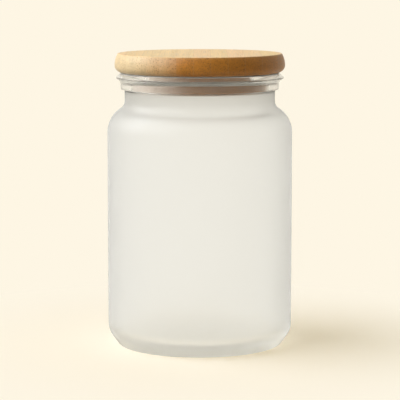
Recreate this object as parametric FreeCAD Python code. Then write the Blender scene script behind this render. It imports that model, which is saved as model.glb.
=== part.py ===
import FreeCAD, Part
import math
import os

# A frosted glass storage jar, shut by a bamboo lid that carries a finned silicone seal.
# Millimetres, +Z up, origin in the middle of the foot. Every piece is turned about Z.

# Jar, walls
jar_height = 147.2
body_radius = 50.0
shoulder_round = 15.0
neck_radius = 40.6
neck_depth = 14.7  # from the rim down to where the neck starts to widen
neck_fillet = 5.1
wall = 3.1

# Jar, rim: a flared lip above a plain band that overhangs the neck
band_overhang = 2.15
band_depth = 8.4  # from the rim down to the underside of the band
band_edge_round = 0.35
band_fillet = 1.6
lip_overhang = 2.55
lip_fall = 1.7  # from the seat on the rim down to the upper edge of the lip
lip_edge = 0.8
lip_slope = 38.0  # degrees that the underside of the lip rises
lip_fillet = 2.5
lip_edge_round = 0.35
seat_overhang = 0.4  # from the band out to where the seat starts to fall
seat_round = 0.8
mouth_round = 1.2

# Jar, foot: a heel that leans in to a bearing ring round a shallow push-up
heel_inset = 5.6
heel_height = 7.7
heel_round = 11.0
foot_edge_round = 1.5
bearing_width = 4.2
push_up_height = 2.4
push_up_slope = 9.0
push_up_round = 18.0
base_thickness = 6.0  # from the foot plane up to the floor inside
floor_round = 9.0

# Lid: a disc with a bulged side, on a plug with a stepped groove for the seal
disc_thickness = 10.1
disc_overhang = 0.7
disc_low_round = 3.8
disc_side_round = 12.3
disc_top_round = 0.6
plug_depth = 9.9
plug_clearance = 1.3
plug_edge_round = 1.0
groove_depth = 1.4
groove_height = 3.4

# Seal: a sleeve in the groove, a flap over the rim and fins towards the mouth
flap_thickness = 0.7
flap_inset = 0.2  # from the edge of the seat in to the edge of the flap
flap_round = 0.3
seal_slip = 0.1
fin_count = 2
fin_spacing = 0.37  # bare sleeve between the roots of the fins
fin_tip = 0.3
fin_rise = 0.35
fin_clearance = 0.3

# Radii and levels that follow
mouth_radius = neck_radius - wall
band_radius = neck_radius + band_overhang
seat_radius = band_radius + seat_overhang
lip_radius = band_radius + lip_overhang
disc_radius = lip_radius + disc_overhang
foot_radius = body_radius - heel_inset
plug_radius = mouth_radius - plug_clearance
groove_radius = plug_radius - groove_depth
neck_level = jar_height - neck_depth
lid_level = jar_height + flap_thickness
groove_level = lid_level - groove_height


def point(radius, level):
    return FreeCAD.Vector(radius, 0, level)


def corner_reach(before, corner, after, radius):
    """Length that an arc of this radius takes from each leg of a corner."""
    half_angle = (before - corner).getAngle(after - corner) / 2
    return radius / math.tan(half_angle)


def corner_arc(before, corner, after, reach):
    """Arc that rounds a corner, starting at this reach along each leg."""
    half_angle = (before - corner).getAngle(after - corner) / 2
    leg_in = (before - corner).normalize()
    leg_out = (after - corner).normalize()
    bisector = (leg_in + leg_out).normalize()
    depth = reach / math.cos(half_angle) - reach * math.tan(half_angle)
    return Part.Arc(corner + leg_in * reach, corner + bisector * depth, corner + leg_out * reach)


def straight(start, end):
    """The line between two points, or nothing where the arcs before and after it already meet."""
    if start.isEqual(end, 1e-6):
        return []
    return [Part.makeLine(start, end)]


def rounded_chain(corners):
    """Edges along (radius, level, round) corners. Rounds that share a leg shrink to fit on it."""
    points = [point(radius, level) for radius, level, size in corners]
    inside = range(1, len(corners) - 1)
    reaches = [0.0] * len(corners)
    for i in inside:
        reaches[i] = corner_reach(points[i - 1], points[i], points[i + 1], corners[i][2])
    edges = []
    here = points[0]
    for i in inside:
        room_before = (points[i] - points[i - 1]).Length / (reaches[i - 1] + reaches[i] or 1)
        room_after = (points[i + 1] - points[i]).Length / (reaches[i] + reaches[i + 1] or 1)
        reach = reaches[i] * min(1, room_before, room_after)
        there = points[i]
        if reach > 0:
            arc = corner_arc(points[i - 1], points[i], points[i + 1], reach)
            there = arc.StartPoint
        edges += straight(here, there)
        here = there
        if reach > 0:
            edges.append(arc.toShape())
            here = arc.EndPoint
    return edges + straight(here, points[-1])


def arc_about(centre, radius, start_degrees, end_degrees):
    """Arc in the XZ plane, with angles from +X towards +Z."""
    degrees = (start_degrees, (start_degrees + end_degrees) / 2, end_degrees)
    turns = [math.radians(angle) for angle in degrees]
    ends = [centre + point(radius * math.cos(turn), radius * math.sin(turn)) for turn in turns]
    return Part.Arc(*ends).toShape()


def turned(edges):
    """Solid turned about Z from a closed ring of edges."""
    ring = Part.Wire(Part.__sortEdges__(edges))
    return Part.Face(ring).revolve(FreeCAD.Vector(0, 0, 0), FreeCAD.Vector(0, 0, 1), 360)


# The shoulder is two arcs that touch. Where the body is wider than both, a level ledge joins them.
span = body_radius - neck_radius
arcs_width = neck_fillet + shoulder_round
ledge = max(0.0, span - arcs_width)
lean = math.acos((ledge + arcs_width - span) / arcs_width)
shoulder_level = neck_level - arcs_width * math.sin(lean)


def shoulder(depth_in_wall):
    """Edges of the shoulder on the surface at this depth in the wall."""
    fillet = neck_fillet + depth_in_wall
    bulge = shoulder_round - depth_in_wall
    neck_centre = point(neck_radius + neck_fillet, neck_level)
    body_centre = point(body_radius - shoulder_round, shoulder_level)
    upper = arc_about(neck_centre, fillet, 180, 180 + math.degrees(lean))
    lower = arc_about(body_centre, bulge, math.degrees(lean), 0)
    return [upper] + straight(upper.lastVertex().Point, lower.firstVertex().Point) + [lower]


def glass_jar():
    bearing_radius = foot_radius - bearing_width
    foot = rounded_chain([
        (0, push_up_height, 0),
        (bearing_radius - push_up_slope, push_up_height, push_up_round),
        (bearing_radius, 0, foot_edge_round),
        (foot_radius, 0, foot_edge_round),
        (body_radius, heel_height, heel_round),
        (body_radius, shoulder_level, 0)])
    band_level = jar_height - band_depth
    lip_level = jar_height - lip_fall - lip_edge
    lip_root_level = lip_level - lip_overhang * math.tan(math.radians(lip_slope))
    rim = rounded_chain([
        (neck_radius, neck_level, 0),
        (neck_radius, band_level, band_fillet),
        (band_radius, band_level, band_edge_round),
        (band_radius, lip_root_level, lip_fillet),
        (lip_radius, lip_level, lip_edge_round),
        (lip_radius, lip_level + lip_edge, lip_edge_round),
        (seat_radius, jar_height, seat_round),
        (mouth_radius, jar_height, mouth_round),
        (mouth_radius, neck_level, 0)])
    inside = rounded_chain([
        (body_radius - wall, shoulder_level, 0),
        (body_radius - wall, base_thickness, floor_round),
        (0, base_thickness, 0)])
    axis = Part.makeLine(point(0, base_thickness), point(0, push_up_height))
    return turned(foot + shoulder(0) + rim + shoulder(wall) + inside + [axis])


def bamboo_lid():
    side_level = lid_level + disc_low_round
    side_rise = disc_thickness - disc_low_round
    side_lean = math.degrees(math.asin(side_rise / disc_side_round))
    low_arc = arc_about(point(disc_radius - disc_low_round, side_level), disc_low_round, -90, 0)
    side_arc = arc_about(point(disc_radius - disc_side_round, side_level), disc_side_round, 0, side_lean)
    top_level = lid_level + disc_thickness
    top_edge = side_arc.lastVertex().Point
    plug = rounded_chain([
        (0, lid_level - plug_depth, 0),
        (plug_radius, lid_level - plug_depth, plug_edge_round),
        (plug_radius, groove_level, plug_edge_round / 4),
        (groove_radius, groove_level, 0),
        (groove_radius, lid_level, 0),
        (disc_radius - disc_low_round, lid_level, 0)])
    top = Part.makeLine(top_edge, point(0, top_level))
    axis = Part.makeLine(point(0, top_level), point(0, lid_level - plug_depth))
    lid = turned(plug + [low_arc, side_arc, top, axis])
    rims = [edge for edge in lid.Edges if edge.BoundBox.ZMin > top_level - 0.01 and edge.Closed]
    return lid.makeFillet(disc_top_round, rims)


def silicone_seal():
    sleeve_radius = groove_radius + seal_slip
    sleeve_level = groove_level + seal_slip
    fin_radius = mouth_radius - fin_clearance
    flap_radius = seat_radius - flap_inset
    pitch = (jar_height - sleeve_level) / (fin_count + 1)
    fin_root = pitch - fin_spacing
    outline = [(sleeve_radius, lid_level, 0), (sleeve_radius, sleeve_level, 0), (plug_radius, sleeve_level, 0.2)]
    for fin in range(fin_count):
        root = sleeve_level + pitch * (fin + 1) - fin_rise / 2
        outline += [
            (plug_radius, root - fin_root / 2, 0.1),
            (fin_radius, root + fin_rise - fin_tip / 2, fin_tip / 3),
            (fin_radius, root + fin_rise + fin_tip / 2, fin_tip / 3),
            (plug_radius, root + fin_root / 2, 0.1)]
    outline += [
        (plug_radius, jar_height, 0.1),
        (flap_radius, jar_height, flap_round),
        (flap_radius, lid_level, flap_round),
        (sleeve_radius, lid_level, 0)]
    return turned(rounded_chain(outline))


os.makedirs("parts", exist_ok=True)
pieces = {
    "glass_jar": glass_jar(),
    "bamboo_lid": bamboo_lid(),
    "silicone_seal": silicone_seal()}
for name, piece in pieces.items():
    piece.exportStep("parts/" + name + ".step")
    print(name, round(piece.Volume), piece.isValid(), len(piece.Solids))
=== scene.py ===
import math
import bmesh
import bpy
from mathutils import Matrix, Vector


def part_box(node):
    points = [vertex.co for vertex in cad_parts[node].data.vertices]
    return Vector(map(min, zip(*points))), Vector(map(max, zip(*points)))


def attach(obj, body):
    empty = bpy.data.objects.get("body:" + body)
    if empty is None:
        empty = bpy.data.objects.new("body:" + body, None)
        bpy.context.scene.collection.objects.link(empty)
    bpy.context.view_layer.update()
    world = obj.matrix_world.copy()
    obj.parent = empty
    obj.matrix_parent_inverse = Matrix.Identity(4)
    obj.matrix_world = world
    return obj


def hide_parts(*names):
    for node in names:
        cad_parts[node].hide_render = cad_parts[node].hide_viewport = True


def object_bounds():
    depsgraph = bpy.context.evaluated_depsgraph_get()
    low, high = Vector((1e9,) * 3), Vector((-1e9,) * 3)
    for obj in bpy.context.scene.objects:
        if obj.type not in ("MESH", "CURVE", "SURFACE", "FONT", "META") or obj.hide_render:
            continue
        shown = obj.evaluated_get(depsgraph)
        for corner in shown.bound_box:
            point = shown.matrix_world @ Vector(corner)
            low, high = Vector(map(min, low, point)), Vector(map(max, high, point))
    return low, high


# A frosted glass storage jar with a bamboo lid and a silicone seal, shown shut on a pale floor.
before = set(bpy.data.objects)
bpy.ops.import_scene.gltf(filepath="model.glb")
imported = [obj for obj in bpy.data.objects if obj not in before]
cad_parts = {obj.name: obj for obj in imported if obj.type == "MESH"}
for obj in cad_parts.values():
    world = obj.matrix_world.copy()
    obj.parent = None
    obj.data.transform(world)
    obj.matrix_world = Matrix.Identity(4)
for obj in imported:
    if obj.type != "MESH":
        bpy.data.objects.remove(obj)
cadLow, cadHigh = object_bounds()
mm = 0.001
print("frame loaded, nodes:", ", ".join(sorted(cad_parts)))


# Small helpers for node trees: a node with its settings, and links given as pairs.
def addNode(tree, kind, settings=None, inputs=None):
    node = tree.nodes.new(kind)
    for key, value in (settings or {}).items():
        setattr(node, key, value)
    for key, value in (inputs or {}).items():
        if isinstance(value, bpy.types.NodeSocket):
            tree.links.new(value, node.inputs[key])
        else:
            node.inputs[key].default_value = value
    return node


def maths(tree, operation, first, second=0.0):
    return addNode(tree, "ShaderNodeMath", {"operation": operation}, {0: first, 1: second}).outputs[0]


def rampBetween(tree, value, low, high):
    return addNode(tree, "ShaderNodeMapRange", {"interpolation_type": "SMOOTHSTEP"}, {
        0: value, 1: low, 2: high}).outputs[0]


def spanTo(tree, value, low, high):  # the middle of a noise, from 0.3 to 0.7, spread over a span
    return addNode(tree, "ShaderNodeMapRange", {}, {0: value, 1: 0.3, 2: 0.7, 3: low, 4: high}).outputs[0]


def parted(tree, vector):
    return addNode(tree, "ShaderNodeSeparateXYZ", {}, {0: vector}).outputs


def mixColours(tree, share, first, second, blend="MIX"):
    node = addNode(tree, "ShaderNodeMix", {"data_type": "RGBA", "blend_type": blend},
                   {0: share, 6: first, 7: second})
    return node.outputs[2]


def rgb(red, green, blue):
    return (red, green, blue, 1.0)


# Outlines: corners are (radius, level, round), and every round becomes an arc that touches both legs.
arcStep = math.radians(7)
holdLength = 0.9 * mm  # short straight kept beside each arc, so that flats shade flat


def roundedOutline(corners):
    spots = [Vector(corner[:2]) for corner in corners]
    reaches = [0.0] * len(corners)
    for i in range(1, len(corners) - 1):
        halfAngle = (spots[i - 1] - spots[i]).angle(spots[i + 1] - spots[i]) / 2
        reaches[i] = corners[i][2] / math.tan(halfAngle)
    outline = [spots[0]]
    for i in range(1, len(corners) - 1):
        legIn = spots[i - 1] - spots[i]
        legOut = spots[i + 1] - spots[i]
        roomIn = legIn.length / ((reaches[i - 1] + reaches[i]) or 1)
        roomOut = legOut.length / ((reaches[i] + reaches[i + 1]) or 1)
        reach = reaches[i] * min(1, roomIn, roomOut)
        outline += cornerArc(spots[i], legIn.normalized(), legOut.normalized(), reach)
    return withHolds(outline + [spots[-1]])


def cornerArc(corner, legIn, legOut, reach):
    if reach == 0:
        return [corner]
    halfAngle = legIn.angle(legOut) / 2
    radius = reach * math.tan(halfAngle)
    centre = corner + (legIn + legOut).normalized() * (radius / math.sin(halfAngle))
    start = corner + legIn * reach - centre
    turn = start.angle_signed(corner + legOut * reach - centre)
    steps = max(3, math.ceil(abs(turn) / arcStep))
    return [centre + rotated(start, -turn * i / steps) for i in range(steps + 1)]


def rotated(arm, angle):
    return Vector((arm.x * math.cos(angle) - arm.y * math.sin(angle),
                   arm.x * math.sin(angle) + arm.y * math.cos(angle)))


def withHolds(outline):
    held = [outline[0]]
    for here, there in zip(outline, outline[1:]):
        leg = there - here
        if leg.length > 4 * holdLength:
            step = leg.normalized() * holdLength
            held += [here + step, there - step]
        held.append(there)
    return held


def arcAbout(centre, radius, startAngle, endAngle):
    steps = max(3, math.ceil(abs(endAngle - startAngle) / arcStep))
    turns = [startAngle + (endAngle - startAngle) * i / steps for i in range(steps + 1)]
    x, y = centre
    return [Vector((x + radius * math.cos(turn), y + radius * math.sin(turn))) for turn in turns]


# The lathe: a Geometry Nodes tree that turns an outline about Z. Each point of the outline becomes
# a ring, and two masks carried by its points say where the inner and the rim finish go.
latheSettings = {"Steps": 288, "Weld": 0.001 * mm}


def buildLathe():
    tree = bpy.data.node_groups.new("lathe", "GeometryNodeTree")
    sockets = [("Outline", "NodeSocketGeometry"), ("Steps", "NodeSocketInt"), ("Weld", "NodeSocketFloat"),
               ("Outer Finish", "NodeSocketMaterial"), ("Inner Finish", "NodeSocketMaterial"),
               ("Rim Finish", "NodeSocketMaterial")]
    for name, kind in sockets:
        tree.interface.new_socket(name, in_out="INPUT", socket_type=kind)
    tree.interface.new_socket("Turned", in_out="OUTPUT", socket_type="NodeSocketGeometry")
    given = tree.nodes.new("NodeGroupInput").outputs
    size = addNode(tree, "GeometryNodeAttributeDomainSize", {}, {0: given["Outline"]})
    around = maths(tree, "ADD", given["Steps"], 1.0)
    grid = addNode(tree, "GeometryNodeMeshGrid", {}, {
        "Vertices X": size.outputs["Point Count"], "Vertices Y": around})
    index = tree.nodes.new("GeometryNodeInputIndex").outputs[0]
    ring = maths(tree, "FLOOR", maths(tree, "DIVIDE", maths(tree, "ADD", index, 0.5), around))
    step = maths(tree, "SUBTRACT", index, maths(tree, "MULTIPLY", ring, around))
    turn = maths(tree, "MULTIPLY", maths(tree, "DIVIDE", step, given["Steps"]), math.tau)
    spot = tree.nodes.new("GeometryNodeInputPosition").outputs[0]
    taken = addNode(tree, "GeometryNodeSampleIndex", {"data_type": "FLOAT_VECTOR"}, {
        "Geometry": given["Outline"], "Value": spot, "Index": ring})
    parts = parted(tree, taken.outputs[0])
    placed = addNode(tree, "ShaderNodeCombineXYZ", {}, {
        0: maths(tree, "MULTIPLY", parts[0], maths(tree, "COSINE", turn)),
        1: maths(tree, "MULTIPLY", parts[0], maths(tree, "SINE", turn)),
        2: parts[2]})
    shape = addNode(tree, "GeometryNodeSetPosition", {}, {
        "Geometry": grid.outputs["Mesh"], "Position": placed.outputs[0]}).outputs[0]
    for mask in ("inner", "rim"):
        own = addNode(tree, "GeometryNodeInputNamedAttribute", {"data_type": "FLOAT"}, {"Name": mask})
        there = addNode(tree, "GeometryNodeSampleIndex", {"data_type": "FLOAT"}, {
            "Geometry": given["Outline"], "Value": own.outputs[0], "Index": ring})
        shape = addNode(tree, "GeometryNodeStoreNamedAttribute", {"data_type": "FLOAT", "domain": "POINT"}, {
            "Geometry": shape, "Name": mask, "Value": there.outputs[0]}).outputs[0]
    shape = addNode(tree, "GeometryNodeMergeByDistance", {}, {
        "Geometry": shape, "Distance": given["Weld"]}).outputs[0]
    shape = addNode(tree, "GeometryNodeSetShadeSmooth", {}, {"Geometry": shape}).outputs[0]
    shape = addNode(tree, "GeometryNodeRealizeInstances", {}, {"Geometry": shape}).outputs[0]
    shape = addNode(tree, "GeometryNodeSetMaterial", {}, {
        "Geometry": shape, "Material": given["Outer Finish"]}).outputs[0]
    for mask, finish in (("inner", "Inner Finish"), ("rim", "Rim Finish")):
        own = addNode(tree, "GeometryNodeInputNamedAttribute", {"data_type": "FLOAT"}, {"Name": mask})
        chosen = addNode(tree, "FunctionNodeCompare", {"data_type": "FLOAT", "operation": "GREATER_THAN"}, {
            0: own.outputs[0], 1: 0.5})
        shape = addNode(tree, "GeometryNodeSetMaterial", {}, {
            "Geometry": shape, "Selection": chosen.outputs[0], "Material": given[finish]}).outputs[0]
    result = tree.nodes.new("NodeGroupOutput")
    tree.links.new(shape, result.inputs[0])
    return tree


def turnedPiece(name, outline, finishes, inner=None, rim=None):
    flat = bpy.data.meshes.new(name + "Outline")
    legs = [(i, i + 1) for i in range(len(outline) - 1)]
    flat.from_pydata([(spot.x, 0, spot.y) for spot in outline], legs, [])
    for mask, rule in (("inner", inner), ("rim", rim)):
        values = [1.0 if rule and rule(i) else 0.0 for i in range(len(outline))]
        flat.attributes.new(mask, "FLOAT", "POINT").data.foreach_set("value", values)
    piece = bpy.data.objects.new(name, flat)
    bpy.context.scene.collection.objects.link(piece)
    lathe = piece.modifiers.new("lathe", "NODES")
    lathe.node_group = bpy.data.node_groups.get("lathe") or buildLathe()
    given = dict(latheSettings)
    given["Outer Finish"], given["Inner Finish"], given["Rim Finish"] = (finishes * 3)[:3]
    for socket in lathe.node_group.interface.items_tree:
        if socket.in_out == "INPUT" and socket.name in given:
            lathe[socket.identifier] = given[socket.name]
    solid = bpy.data.meshes.new_from_object(piece.evaluated_get(bpy.context.evaluated_depsgraph_get()))
    piece.modifiers.remove(lathe)
    piece.data = solid
    solid.name = name
    work = bmesh.new()
    work.from_mesh(solid)
    bmesh.ops.recalc_face_normals(work, faces=work.faces)
    openEdges = sum(1 for edge in work.edges if not edge.is_manifold)
    work.to_mesh(solid)
    work.free()
    print("turned", name, len(solid.polygons), "faces, open edges", openEdges)
    return piece


# Patterns that more than one finish uses are shader node groups with named sockets.
def patternGroup(name, inputs, outputs):
    tree = bpy.data.node_groups.new(name, "ShaderNodeTree")
    for label, kind, default in inputs:
        socket = tree.interface.new_socket(label, in_out="INPUT", socket_type="NodeSocket" + kind)
        socket.default_value = default
    for label, kind in outputs:
        tree.interface.new_socket(label, in_out="OUTPUT", socket_type="NodeSocket" + kind)
    return tree, tree.nodes.new("NodeGroupInput").outputs, tree.nodes.new("NodeGroupOutput").inputs


# Fine grit of an etched or moulded surface: a rough share that wanders, and a height to bump by.
def buildGrit():
    tree, given, result = patternGroup("surface grit", [
        ("Vector", "Vector", (0, 0, 0)), ("Grain Size", "Float", 0.0006), ("Cloud Size", "Float", 0.02),
        ("Roughness", "Float", 0.4), ("Spread", "Float", 0.05)],
        [("Roughness", "Float"), ("Height", "Float")])
    fine = addNode(tree, "ShaderNodeTexNoise", {}, {
        "Vector": given["Vector"], "Scale": maths(tree, "DIVIDE", 1.0, given["Grain Size"]), "Detail": 2.0})
    cloud = addNode(tree, "ShaderNodeTexNoise", {}, {
        "Vector": given["Vector"], "Scale": maths(tree, "DIVIDE", 1.0, given["Cloud Size"]), "Detail": 3.0})
    wander = maths(tree, "ADD", maths(tree, "MULTIPLY", fine.outputs[0], 0.4),
                   maths(tree, "MULTIPLY", cloud.outputs[0], 0.6))
    bothWays = maths(tree, "MULTIPLY", given["Spread"], 2.0)
    offset = maths(tree, "MULTIPLY", maths(tree, "SUBTRACT", wander, 0.5), bothWays)
    tree.links.new(maths(tree, "ADD", given["Roughness"], offset), result["Roughness"])
    tree.links.new(fine.outputs[0], result["Height"])
    return tree


def placeGroup(tree, group, inputs):
    node = tree.nodes.new("ShaderNodeGroup")
    node.node_tree = group
    for label, value in inputs.items():
        if isinstance(value, bpy.types.NodeSocket):
            tree.links.new(value, node.inputs[label])
        else:
            node.inputs[label].default_value = value
    return node


def newFinish(name):
    finish = bpy.data.materials.new(name)
    finish.use_nodes = True
    tree = finish.node_tree
    tree.nodes.clear()
    shader = tree.nodes.new("ShaderNodeBsdfPrincipled")
    tree.links.new(shader.outputs[0], tree.nodes.new("ShaderNodeOutputMaterial").inputs[0])
    where = tree.nodes.new("ShaderNodeTexCoord").outputs["Object"]
    return finish, tree, shader, where


def bumpInto(tree, shader, height, strength, distance):
    bump = addNode(tree, "ShaderNodeBump", {}, {"Strength": strength, "Distance": distance, "Height": height})
    tree.links.new(bump.outputs[0], shader.inputs["Normal"])


grit = buildGrit()
glassSettings = {
    "frosted": {
        "colour": rgb(0.895, 0.925, 0.975), "through": 0.98, "roughness": 0.56, "spread": 0.05,
        "bump": 0.12, "ior": 1.22},
    "rim": {
        "colour": rgb(0.97, 0.97, 0.96), "through": 0.94, "roughness": 0.12, "spread": 0.02,
        "bump": 0.0, "ior": 1.5},
    "inner": {
        "colour": rgb(0.99, 0.995, 1.0), "through": 1.0, "roughness": 0.08, "spread": 0.02,
        "bump": 0.0, "ior": 1.22},
    "grain": 0.5 * mm, "cloud": 24 * mm, "relief": 0.05 * mm,
    # painted shade for the glass: a darker neck and a darker base
    "neckPaintedShade": rgb(0.775, 0.765, 0.74), "basePaintedShade": rgb(0.95, 0.93, 0.87),
    "neckPaintedShadeAbove": 5 * mm, "basePaintedShadeFrom": 9 * mm, "basePaintedShadeFull": 3 * mm}


def glassFinish(name, choice, levels=None):
    settings = glassSettings[choice]
    finish, tree, shader, where = newFinish(name)
    pattern = placeGroup(tree, grit, {
        "Vector": where, "Grain Size": glassSettings["grain"], "Cloud Size": glassSettings["cloud"],
        "Roughness": settings["roughness"], "Spread": settings["spread"]})
    tree.links.new(pattern.outputs["Roughness"], shader.inputs["Roughness"])
    shader.inputs["Base Color"].default_value = settings["colour"]
    if levels:
        # painted shade: darker at the neck, where the lid and plug above shade the inside, and at the base,
        # where the jar stands on the floor
        height = parted(tree, where)[2]
        atNeck = rampBetween(tree, height, *levels["neck"])
        atBase = rampBetween(tree, height, *levels["base"])
        tint = mixColours(tree, atNeck, rgb(1, 1, 1), glassSettings["neckPaintedShade"])
        tint = mixColours(tree, atBase, tint, glassSettings["basePaintedShade"])
        tinted = mixColours(tree, 1.0, settings["colour"], tint, "MULTIPLY")
        tree.links.new(tinted, shader.inputs["Base Color"])
    shader.inputs["Transmission Weight"].default_value = settings["through"]
    shader.inputs["IOR"].default_value = settings["ior"]
    bumpInto(tree, shader, pattern.outputs["Height"], settings["bump"], glassSettings["relief"])
    return finish


# Bamboo: strips glued side by side along X, with the grain along Y. One field of bundles runs
# through the board, so it shows as dots on the front and back and as long streaks elsewhere.
bambooSettings = {
    "stripWidth": 9.0 * mm, "stripShift": 0.37, "glueWidth": 0.22 * mm, "knuckleGap": 210 * mm,
    "knuckleCore": 0.3 * mm, "knuckleReach": 1.6 * mm,
    "squeeze": 0.025, "fibreScale": 1500.0, "broadScale": 260.0,
    "bundlePitch": 0.85 * mm, "bundleShare": 0.22, "bundleGrowth": 0.18, "bundleOdds": 0.85,
    "pale": rgb(0.84, 0.60, 0.29), "pink": rgb(0.86, 0.55, 0.29), "gold": rgb(0.82, 0.57, 0.24),
    # side colours: pale for the painted light on the left, dark for the wood's side in painted shade
    "paleLitSide": rgb(0.73, 0.56, 0.32), "darkShadedSide": rgb(0.57, 0.225, 0.026),
    # plug colours: a painted highlight on its left, painted shade on its right
    "plugPaintedHighlight": rgb(0.93, 0.83, 0.76), "plugPaintedShade": rgb(0.25, 0.10, 0.012),
    "litUpTo": -38.0 * mm, "shadedFrom": -4.0 * mm, "plugLitUpTo": -34.0 * mm, "plugShadedFrom": -2.0 * mm,
    "litToShadedOdds": 0.12, "bundle": rgb(0.26, 0.10, 0.02), "glue": rgb(0.55, 0.33, 0.14),
    "knuckleStrength": 0.45, "seamStrength": 0.35, "streakOnFlat": 0.10, "streakOnEnds": 0.62,
    "roughness": 0.42, "specular": 0.45, "bump": 0.25, "relief": 0.12 * mm}


def bambooStrips(tree, across, settings):
    counted = maths(tree, "DIVIDE", across, settings["stripWidth"])
    shifted = maths(tree, "ADD", counted, settings["stripShift"])
    strip = maths(tree, "FLOOR", shifted)
    chance = addNode(tree, "ShaderNodeTexWhiteNoise", {"noise_dimensions": "1D"}, {"W": strip}).outputs
    chances = addNode(tree, "ShaderNodeSeparateColor", {}, {0: chance[1]}).outputs
    return maths(tree, "FRACT", shifted), chances


# Cut ends of the fibre bundles: dots that grow towards one side of each strip.
def bambooBundles(tree, squeezed, inStrip, settings):
    bundles = addNode(tree, "ShaderNodeTexVoronoi", {"feature": "F1", "distance": "EUCLIDEAN"}, {
        "Vector": squeezed, "Scale": 1 / settings["bundlePitch"], "Randomness": settings["bundleOdds"]})
    growth = maths(tree, "MULTIPLY", inStrip, settings["bundleGrowth"])
    reach = maths(tree, "ADD", settings["bundleShare"], growth)
    away = rampBetween(tree, maths(tree, "DIVIDE", bundles.outputs["Distance"], reach), 0.55, 1.1)
    return maths(tree, "SUBTRACT", 1.0, away)


# Knuckles, one thin dark line across some strips, and the glue lines between strips.
def bambooMarks(tree, along, inStrip, chance, settings):
    moved = maths(tree, "ADD", along, maths(tree, "MULTIPLY", chance, settings["knuckleGap"]))
    fromKnuckle = maths(tree, "PINGPONG", moved, settings["knuckleGap"] / 2)
    offKnuckle = rampBetween(tree, fromKnuckle, settings["knuckleCore"], settings["knuckleReach"])
    knuckle = maths(tree, "MULTIPLY", maths(tree, "SUBTRACT", 1.0, offKnuckle), settings["knuckleStrength"])
    fromSeam = maths(tree, "MULTIPLY", maths(tree, "PINGPONG", inStrip, 0.5), settings["stripWidth"])
    offSeam = rampBetween(tree, fromSeam, 0.0, settings["glueWidth"])
    seam = maths(tree, "MULTIPLY", maths(tree, "SUBTRACT", 1.0, offSeam), settings["seamStrength"])
    return maths(tree, "MAXIMUM", knuckle, seam)


def bambooFinish(plugLevel):
    settings = bambooSettings
    finish, tree, shader, where = newFinish("oiled bamboo")
    place = parted(tree, where)
    inStrip, chances = bambooStrips(tree, place[0], settings)
    tone = mixColours(tree, chances[0], settings["pale"], settings["pink"])
    tone = mixColours(tree, rampBetween(tree, chances[1], 0.45, 0.9), tone, settings["gold"])
    # long fibres: a noise squeezed across the grain
    squeezed = addNode(tree, "ShaderNodeMapping", {}, {
        "Vector": where, "Scale": (1.0, settings["squeeze"], 1.0)}).outputs[0]
    fibres = addNode(tree, "ShaderNodeTexNoise", {}, {
        "Vector": squeezed, "Scale": settings["fibreScale"], "Detail": 4.0}).outputs[0]
    broad = addNode(tree, "ShaderNodeTexNoise", {}, {
        "Vector": squeezed, "Scale": settings["broadScale"], "Detail": 2.0}).outputs[0]
    # end grain, by how squarely the surface faces along the fibres
    facing = parted(tree, tree.nodes.new("ShaderNodeNewGeometry").outputs["Normal"])
    endShare = rampBetween(tree, maths(tree, "ABSOLUTE", facing[1]), 0.25, 0.95)
    dots = bambooBundles(tree, squeezed, inStrip, settings)
    # painted light and shade on the sides: paler on the lit left of the board, darker towards the shaded right,
    # along X; the dark end is also the wood's own darker side colour, and each strip shifts it a little at
    # random
    litToShaded = rampBetween(tree, place[0], settings["litUpTo"], settings["shadedFrom"])
    perStrip = maths(tree, "MULTIPLY", maths(tree, "SUBTRACT", chances[2], 0.5), settings["litToShadedOdds"])
    sideTone = mixColours(tree, maths(tree, "ADD", litToShaded, perStrip), settings["paleLitSide"], settings["darkShadedSide"])
    # painted shade: the top and the flat underside take the face tones, while the low round under the disc takes
    # the side colour with its painted shade
    flat = maths(tree, "MAXIMUM", rampBetween(tree, facing[2], 0.35, 0.85),
                 rampBetween(tree, facing[2], -0.96, -0.995))
    body = mixColours(tree, flat, sideTone, tone)
    # painted highlight and shade on the plug inside the neck: near white on the left where the rim catches the
    # lamp, near black to the right where the lid shades it
    onPlug = rampBetween(tree, place[2], plugLevel + 0.1 * mm, plugLevel - 0.1 * mm)
    plugLitToShaded = rampBetween(tree, place[0], settings["plugLitUpTo"], settings["plugShadedFrom"])
    plugPaintedTone = mixColours(tree, plugLitToShaded, settings["plugPaintedHighlight"], settings["plugPaintedShade"])
    body = mixColours(tree, onPlug, body, plugPaintedTone)
    onEnds = maths(tree, "MULTIPLY", endShare, settings["streakOnEnds"])
    streak = maths(tree, "MULTIPLY", dots, maths(tree, "ADD", settings["streakOnFlat"], onEnds))
    body = mixColours(tree, streak, body, settings["bundle"])
    shade = maths(tree, "MULTIPLY", spanTo(tree, fibres, 0.86, 1.10), spanTo(tree, broad, 0.92, 1.07))
    grey = addNode(tree, "ShaderNodeCombineColor", {}, {0: shade, 1: shade, 2: shade}).outputs[0]
    body = mixColours(tree, 1.0, body, grey, "MULTIPLY")
    marks = bambooMarks(tree, place[1], inStrip, chances[1], settings)
    body = mixColours(tree, marks, body, settings["glue"])
    tree.links.new(body, shader.inputs["Base Color"])
    rough = spanTo(tree, fibres, settings["roughness"] - 0.06, settings["roughness"] + 0.08)
    rough = maths(tree, "ADD", rough, maths(tree, "MULTIPLY", dots, 0.1))
    tree.links.new(rough, shader.inputs["Roughness"])
    shader.inputs["Specular IOR Level"].default_value = settings["specular"]
    relief = maths(tree, "SUBTRACT", fibres, maths(tree, "MULTIPLY", dots, 0.5))
    bumpInto(tree, shader, relief, settings["bump"], settings["relief"])
    return finish


siliconeSettings = {
    "colour": rgb(0.80, 0.79, 0.76), "through": 0.35, "roughness": 0.38, "spread": 0.06, "ior": 1.41,
    "grain": 0.3 * mm, "cloud": 9 * mm, "bump": 0.1, "relief": 0.03 * mm}


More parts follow.
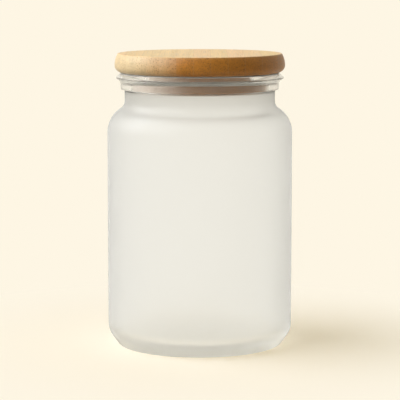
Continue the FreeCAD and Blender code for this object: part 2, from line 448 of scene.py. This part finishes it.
def siliconeFinish():
    settings = siliconeSettings
    finish, tree, shader, where = newFinish("translucent silicone")
    pattern = placeGroup(tree, grit, {
        "Vector": where, "Grain Size": settings["grain"], "Cloud Size": settings["cloud"],
        "Roughness": settings["roughness"], "Spread": settings["spread"]})
    tree.links.new(pattern.outputs["Roughness"], shader.inputs["Roughness"])
    shader.inputs["Base Color"].default_value = settings["colour"]
    shader.inputs["Transmission Weight"].default_value = settings["through"]
    shader.inputs["IOR"].default_value = settings["ior"]
    bumpInto(tree, shader, pattern.outputs["Height"], settings["bump"], settings["relief"])
    return finish


# The jar. Levels and radii come from its place in the frame; the rest are its own sizes.
jarSizes = {
    "wall": 3.1 * mm, "neckDepth": 14.7 * mm, "neckInset": 9.4 * mm, "neckFillet": 5.1 * mm,
    "shoulderRound": 15.0 * mm, "bandDepth": 8.4 * mm, "bandOverhang": 2.15 * mm, "bandFillet": 1.6 * mm,
    "bandEdge": 0.35 * mm, "lipOverhang": 2.55 * mm, "lipFall": 1.7 * mm, "lipEdge": 0.8 * mm,
    "lipRise": 1.99 * mm, "lipFillet": 2.5 * mm, "lipEdgeRound": 0.35 * mm, "seatOverhang": 0.4 * mm,
    "seatRound": 0.8 * mm, "mouthRound": 1.2 * mm,
    "heelInset": 5.6 * mm, "heelHeight": 7.7 * mm, "heelRound": 11.0 * mm, "footEdge": 1.5 * mm,
    "bearingWidth": 4.2 * mm, "pushUp": 2.4 * mm, "pushUpSlope": 9.0 * mm, "pushUpRound": 18.0 * mm,
    "base": 6.0 * mm, "floorRound": 9.0 * mm}
hair = 0.001 * mm  # slack when two levels are compared


def makeJar():
    size = jarSizes
    low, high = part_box("glass_jar")
    body = min(high.x, high.y, -low.x, -low.y)
    rimLevel = high.z
    neck = body - size["neckInset"]
    mouth = neck - size["wall"]
    band = neck + size["bandOverhang"]
    lip = band + size["lipOverhang"]
    foot = body - size["heelInset"]
    bearing = foot - size["bearingWidth"]
    neckLevel = rimLevel - size["neckDepth"]
    bandLevel = rimLevel - size["bandDepth"]
    seat = band + size["seatOverhang"]
    lipLevel = rimLevel - size["lipFall"] - size["lipEdge"]
    arcs = size["neckFillet"] + size["shoulderRound"]
    lean = math.acos(1 - (body - neck) / arcs)
    shoulderLevel = neckLevel - arcs * math.sin(lean)

    def shoulder(depth):
        neckCentre = (neck + size["neckFillet"], neckLevel)
        bodyCentre = (body - size["shoulderRound"], shoulderLevel)
        lower = arcAbout(bodyCentre, size["shoulderRound"] - depth, 0, lean)
        upper = arcAbout(neckCentre, size["neckFillet"] + depth, math.pi + lean, math.pi)
        return lower + upper[1:]

    footPart = roundedOutline([
        (0, low.z + size["pushUp"], 0),
        (bearing - size["pushUpSlope"], low.z + size["pushUp"], size["pushUpRound"]),
        (bearing, low.z, size["footEdge"]), (foot, low.z, size["footEdge"]),
        (body, low.z + size["heelHeight"], size["heelRound"]), (body, shoulderLevel, 0)])
    rimPart = roundedOutline([
        (neck, neckLevel, 0), (neck, bandLevel, size["bandFillet"]), (band, bandLevel, size["bandEdge"]),
        (band, lipLevel - size["lipRise"], size["lipFillet"]), (lip, lipLevel, size["lipEdgeRound"]),
        (lip, lipLevel + size["lipEdge"], size["lipEdgeRound"]), (seat, rimLevel, size["seatRound"]),
        (mouth, rimLevel, size["mouthRound"]), (mouth, bandLevel, 0), (mouth, neckLevel, 0)])
    insidePart = roundedOutline([
        (body - size["wall"], shoulderLevel, 0), (body - size["wall"], size["base"], size["floorRound"]),
        (0, size["base"], 0)])
    innerShoulder = list(reversed(shoulder(size["wall"])))
    outline = footPart + shoulder(0)[1:] + rimPart[1:] + innerShoulder[1:] + insidePart[1:]
    rimTop = max(range(len(outline)), key=lambda i: outline[i].y)

    def isInner(i):
        return i > rimTop and outline[i].y < bandLevel + hair

    def isRim(i):
        return outline[i].y > bandLevel - hair

    # levels where the painted shade on the glass begins and where it is full
    levels = {
        "neck": (shoulderLevel + glassSettings["neckPaintedShadeAbove"], bandLevel),
        "base": (low.z + glassSettings["basePaintedShadeFrom"], low.z + glassSettings["basePaintedShadeFull"])}
    finishes = [glassFinish("frosted glass", "frosted", levels), glassFinish("smooth inner glass", "inner"),
                glassFinish("clear rim glass", "rim")]
    jar = turnedPiece("glassJar", outline, finishes, isInner, isRim)
    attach(jar, "root")
    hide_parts("glass_jar")
    return {"mouth": mouth, "seat": seat}


lidSizes = {
    "discThickness": 10.1 * mm, "lowRound": 3.8 * mm, "sideRound": 12.3 * mm, "sideShare": 0.9,
    "topRound": 0.6 * mm, "plugGap": 1.3 * mm, "plugEdge": 1.0 * mm, "grooveDepth": 1.4 * mm,
    "grooveHeight": 3.4 * mm, "grooveEdge": 0.25 * mm}


def makeLid(mouth):
    size = lidSizes
    low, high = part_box("bamboo_lid")
    disc = min(high.x, high.y, -low.x, -low.y)
    plug = mouth - size["plugGap"]
    groove = plug - size["grooveDepth"]
    lidLevel = high.z - size["discThickness"]
    sideLevel = lidLevel + size["lowRound"]
    topLean = math.asin((high.z - sideLevel) / size["sideRound"])
    grooveLevel = lidLevel - size["grooveHeight"]
    plugPart = roundedOutline([
        (0, low.z, 0), (plug, low.z, size["plugEdge"]), (plug, grooveLevel, size["grooveEdge"]),
        (groove, grooveLevel, 0), (groove, lidLevel, 0), (disc - size["lowRound"], lidLevel, 0)])
    lowArc = arcAbout((disc - size["lowRound"], sideLevel), size["lowRound"], -math.pi / 2, 0)
    sideCentre = (disc - size["sideRound"], sideLevel)
    sideArc = arcAbout(sideCentre, size["sideRound"], 0, topLean * size["sideShare"])
    corner = disc - size["sideRound"] + size["sideRound"] * math.cos(topLean)
    topPart = roundedOutline([
        (sideArc[-1].x, sideArc[-1].y, 0), (corner, high.z, size["topRound"]), (0, high.z, 0)])
    outline = plugPart + lowArc[1:] + sideArc[1:] + topPart[1:]
    lid = turnedPiece("bambooLid", outline, [bambooFinish(lidLevel)])
    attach(lid, "root")
    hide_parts("bamboo_lid")
    return {"plug": plug, "groove": groove, "lidLevel": lidLevel}


sealSizes = {
    "flap": 0.7 * mm, "flapInset": 0.2 * mm, "flapRound": 0.3 * mm, "slip": 0.1 * mm, "seat": 0.02 * mm,
    "fins": 2, "finSpacing": 0.37 * mm, "finTip": 0.3 * mm, "finRise": 0.35 * mm, "finGap": 0.3 * mm,
    "footRound": 0.2 * mm, "finFillet": 0.1 * mm}


def makeSeal(rims, lid):
    size = sealSizes
    low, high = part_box("silicone_seal")
    sleeve = lid["groove"] + size["slip"]
    top = lid["lidLevel"] - size["seat"]
    rimLevel = lid["lidLevel"] - size["flap"]
    under = rimLevel + size["seat"]
    flap = rims["seat"] - size["flapInset"]
    finEdge = rims["mouth"] - size["finGap"]
    pitch = (rimLevel - low.z) / (size["fins"] + 1)
    root = pitch - size["finSpacing"]
    fillet = size["finFillet"]
    corners = [(sleeve, top, 0), (sleeve, low.z, 0), (lid["plug"], low.z, size["footRound"])]
    for fin in range(size["fins"]):
        level = low.z + pitch * (fin + 1) - size["finRise"] / 2
        tip = level + size["finRise"]
        corners += [
            (lid["plug"], level - root / 2, fillet), (finEdge, tip - size["finTip"] / 2, size["finTip"] / 3),
            (finEdge, tip + size["finTip"] / 2, size["finTip"] / 3), (lid["plug"], level + root / 2, fillet)]
    corners += [
        (lid["plug"], under, fillet), (flap, under, size["flapRound"]), (flap, top, size["flapRound"]),
        (sleeve, top, 0)]
    seal = turnedPiece("siliconeSeal", roundedOutline(corners), [siliconeFinish()])
    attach(seal, "root")
    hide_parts("silicone_seal")


rims = makeJar()
lid = makeLid(rims["mouth"])
makeSeal(rims, lid)
print("jar, lid and seal made")


# The stage: one wide floor whose own colour meets the backdrop, a big soft lamp on the left.
stageSettings = {
    "cream": rgb(0.991, 0.922, 0.776), "floorColour": rgb(0.69, 0.675, 0.66),
    "bounce": rgb(0.40, 0.36, 0.29), "glow": rgb(0.33, 0.255, 0.105),
    "ambient": rgb(1.0, 0.95, 0.86), "ambientStrength": 0.2, "floorSize": 6.0,
    "fadeStart": 0.04, "fadeEnd": 0.19, "clearThrough": 0.9, "roomStart": -0.5, "roomEnd": 0.1}


# What is seen or shows through glass is cream all round; reflections find it behind the jar only,
# because the room in front of a lit table is dim.
def seenDirectly(tree, depth):
    path = tree.nodes.new("ShaderNodeLightPath").outputs
    behind = rampBetween(tree, depth, stageSettings["roomStart"], stageSettings["roomEnd"])
    mirrored = maths(tree, "MULTIPLY", path["Is Glossy Ray"], behind)
    shown = maths(tree, "MAXIMUM", path["Is Camera Ray"], mirrored)
    return maths(tree, "MAXIMUM", shown, path["Is Transmission Ray"])


def makeFloor():
    settings = stageSettings
    half = settings["floorSize"] / 2
    mesh = bpy.data.meshes.new("floor")
    mesh.from_pydata([(-half, -half, cadLow.z), (half, -half, cadLow.z), (half, half, cadLow.z),
                      (-half, half, cadLow.z)], [], [(0, 1, 2, 3)])
    floor = bpy.data.objects.new("floor", mesh)
    bpy.context.scene.collection.objects.link(floor)
    finish = bpy.data.materials.new("pale floor")
    finish.use_nodes = True
    tree = finish.node_tree
    tree.nodes.clear()
    where = tree.nodes.new("ShaderNodeTexCoord").outputs["Object"]
    seen = seenDirectly(tree, parted(tree, where)[1])
    matt = addNode(tree, "ShaderNodeBsdfDiffuse", {}, {
        "Color": mixColours(tree, seen, settings["bounce"], settings["floorColour"])})
    glow = addNode(tree, "ShaderNodeEmission", {}, {"Color": settings["glow"], "Strength": seen})
    near = addNode(tree, "ShaderNodeAddShader", {}, {0: matt.outputs[0], 1: glow.outputs[0]})
    sweep = addNode(tree, "ShaderNodeEmission", {}, {"Color": settings["cream"]})
    distance = addNode(tree, "ShaderNodeVectorMath", {"operation": "LENGTH"}, {0: where}).outputs["Value"]
    faded = rampBetween(tree, distance, settings["fadeStart"], settings["fadeEnd"])
    far = maths(tree, "MULTIPLY", seen, faded)
    clear = tree.nodes.new("ShaderNodeLightPath").outputs["Is Transmission Ray"]
    share = maths(tree, "MAXIMUM", far, maths(tree, "MULTIPLY", clear, settings["clearThrough"]))
    both = addNode(tree, "ShaderNodeMixShader", {}, {0: share, 1: near.outputs[0], 2: sweep.outputs[0]})
    tree.links.new(both.outputs[0], tree.nodes.new("ShaderNodeOutputMaterial").inputs[0])
    mesh.materials.append(finish)


def makeWorld():
    settings = stageSettings
    world = bpy.data.worlds.new("studio")
    world.use_nodes = True
    tree = world.node_tree
    tree.nodes.clear()
    aim = tree.nodes.new("ShaderNodeTexCoord").outputs["Generated"]
    seen = seenDirectly(tree, parted(tree, aim)[1])
    plain = addNode(tree, "ShaderNodeBackground", {}, {
        "Color": settings["ambient"], "Strength": settings["ambientStrength"]})
    backdrop = addNode(tree, "ShaderNodeBackground", {}, {"Color": settings["cream"], "Strength": 1.0})
    both = addNode(tree, "ShaderNodeMixShader", {}, {0: seen, 1: plain.outputs[0], 2: backdrop.outputs[0]})
    tree.links.new(both.outputs[0], tree.nodes.new("ShaderNodeOutputWorld").inputs[0])
    bpy.context.scene.world = world


lampSettings = {"from": (-2.3, -0.45, 2.0), "size": (4.4, 2.8), "power": 152.0, "colour": (0.97, 0.985, 1.0)}


def makeLamp():
    settings = lampSettings
    data = bpy.data.lights.new("key lamp", "AREA")
    data.shape = "RECTANGLE"
    data.size, data.size_y = settings["size"]
    data.energy = settings["power"]
    data.color = settings["colour"]
    lamp = bpy.data.objects.new("key lamp", data)
    lamp.location = Vector(settings["from"])
    aim = (cadLow + cadHigh) / 2
    lamp.rotation_euler = (aim - lamp.location).to_track_quat("-Z", "Y").to_euler()
    bpy.context.scene.collection.objects.link(lamp)


cameraSettings = {
    "back": 1.047, "up": 0.2121, "tilt": 7.29, "lens": 174.5, "film": 36.0, "shift": 0.0005, "nearest": 0.05}


def makeCamera():
    settings = cameraSettings
    middle = (cadLow + cadHigh) / 2
    data = bpy.data.cameras.new("camera")
    data.sensor_width = settings["film"]
    data.lens = settings["lens"]
    data.shift_x = settings["shift"]
    data.clip_start = settings["nearest"]
    camera = bpy.data.objects.new("camera", data)
    camera.location = (middle.x, middle.y - settings["back"], cadLow.z + settings["up"])
    camera.rotation_euler = (math.radians(90 - settings["tilt"]), 0, 0)
    bpy.context.scene.collection.objects.link(camera)
    bpy.context.scene.camera = camera


makeFloor()
makeWorld()
makeLamp()
makeCamera()
bpy.context.scene.view_settings.view_transform = "Standard"
print("stage ready")
